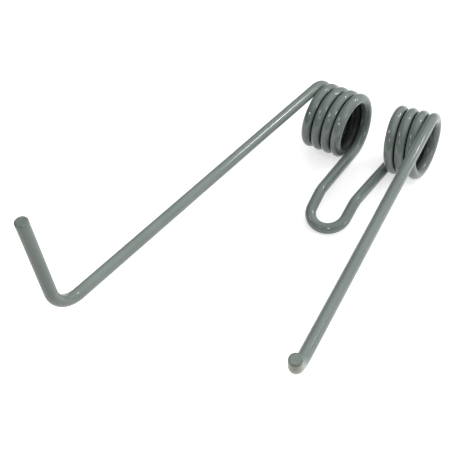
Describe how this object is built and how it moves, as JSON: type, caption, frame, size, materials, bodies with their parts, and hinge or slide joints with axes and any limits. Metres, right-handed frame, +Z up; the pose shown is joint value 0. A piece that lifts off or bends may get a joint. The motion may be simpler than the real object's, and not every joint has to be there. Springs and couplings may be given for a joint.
{
  "type": "rake spring tine",
  "caption": "Rake spring tine bent from round spring wire, with a clamping loop, close-wound coils and long legs that end in bent feet.",
  "frame": {"origin": "centre of the U loop, on the wire's centre line plane, where the clamp bolt goes through", "axes": "+X to the right along the coils, +Y from the loop back to the coils, +Z up as the tine lies at rest"},
  "size_m": [0.1771, 0.3496, 0.1607],
  "materials": {
    "enamel": "gloss grey-green enamel over spring steel"
  },
  "bodies": {
    "root": {"spring_tine": "enamel"}
  },
  "joints": []
}
